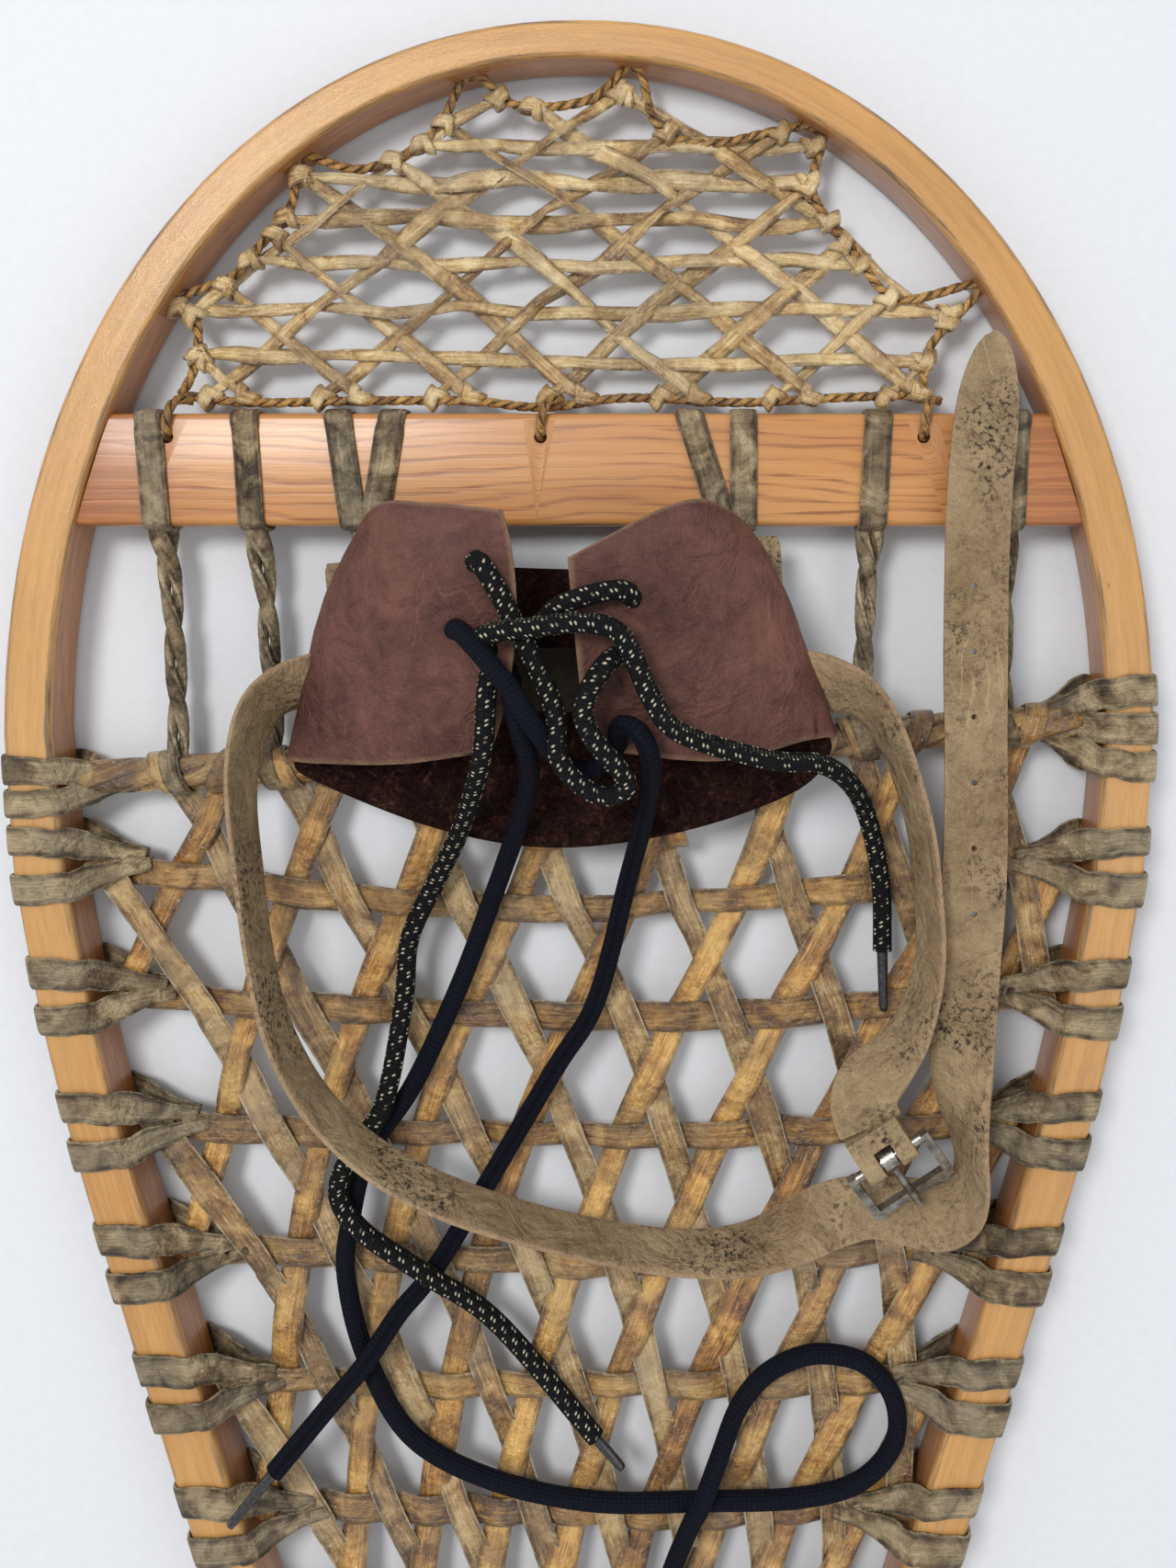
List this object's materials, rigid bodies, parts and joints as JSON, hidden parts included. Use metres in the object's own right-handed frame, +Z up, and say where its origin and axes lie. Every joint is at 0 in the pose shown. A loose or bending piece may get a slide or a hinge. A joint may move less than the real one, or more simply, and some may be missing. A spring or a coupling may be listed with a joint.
{
  "type": "snowshoe",
  "caption": "Long-tailed wooden snowshoe with woven rawhide lacing and a laced leather toe binding with a buckled heel strap.",
  "frame": {"origin": "on the ground under the middle of the shoe's bounding box", "axes": "+Y along the shoe to the toe, +X to the right, +Z up"},
  "size_m": [0.3588, 1.17, 0.065],
  "materials": {
    "frame_wood": "varnished, worn dark at the edges",
    "crossbar_wood": "varnished, open grain",
    "rivet_metal": "tarnished",
    "weathered_rawhide": "dry and dirty, low sheen",
    "lanyard_gut": "waxy",
    "pale_rawhide": "varnished, translucent",
    "amber_rawhide": "varnished, glossy",
    "burgundy_leather": "worn, semi-matt",
    "tan_leather": "rough, matt",
    "buckle_metal": "dull plated",
    "flecked_lace_fabric": "braided with pale flecks",
    "navy_lace_fabric": "braided",
    "aglet_plastic": "clear coat over dark braid"
  },
  "bodies": {
    "shoe": {"frame_rail": "frame_wood", "front_crossbar": "crossbar_wood", "rear_crossbar": "crossbar_wood", "front_tail_rivet": "rivet_metal", "rear_tail_rivet": "rivet_metal", "left_rail_wraps": "weathered_rawhide", "right_rail_wraps": "weathered_rawhide", "toe_cord_left_wrap": "weathered_rawhide", "toe_cord_right_wrap": "weathered_rawhide", "toe_lanyard": "lanyard_gut", "toe_lacing": "pale_rawhide", "body_lacing": "amber_rawhide", "tail_lanyard": "lanyard_gut", "tail_lacing": "amber_rawhide", "toe_cord": "amber_rawhide", "hitch_left_outer": "weathered_rawhide", "hitch_left_inner": "weathered_rawhide", "hitch_left_pair": "weathered_rawhide", "hitch_right_pair": "weathered_rawhide", "hitch_right_inner": "weathered_rawhide", "hitch_right_outer": "weathered_rawhide", "rear_hitches": "weathered_rawhide", "left_toggle": "tan_leather", "right_toggle": "tan_leather", "toe_piece": "burgundy_leather", "toe_piece_thongs": "amber_rawhide", "heel_strap": "tan_leather", "buckle_chape": "tan_leather", "flecked_lace": "flecked_lace_fabric", "navy_lace": "navy_lace_fabric", "flecked_aglet_left": "aglet_plastic", "flecked_aglet_right": "aglet_plastic", "navy_aglet_left": "aglet_plastic", "navy_aglet_right": "aglet_plastic"},
    "buckle": {"buckle_frame": "buckle_metal"},
    "prong": {"buckle_prong": "buckle_metal"}
  },
  "joints": [
    {"name": "buckle_swing", "type": "hinge", "parent": "shoe", "child": "buckle", "pos_m": [0.094, 0.238, 0.033], "axis": [0.8387, 0.5446, 0], "range_deg": [-20, 10]},
    {"name": "prong_lift", "type": "hinge", "parent": "buckle", "child": "prong", "pos_m": [0.094, 0.238, 0.033], "axis": [0.8387, 0.5446, 0], "range_deg": [-70, 0]}
  ]
}
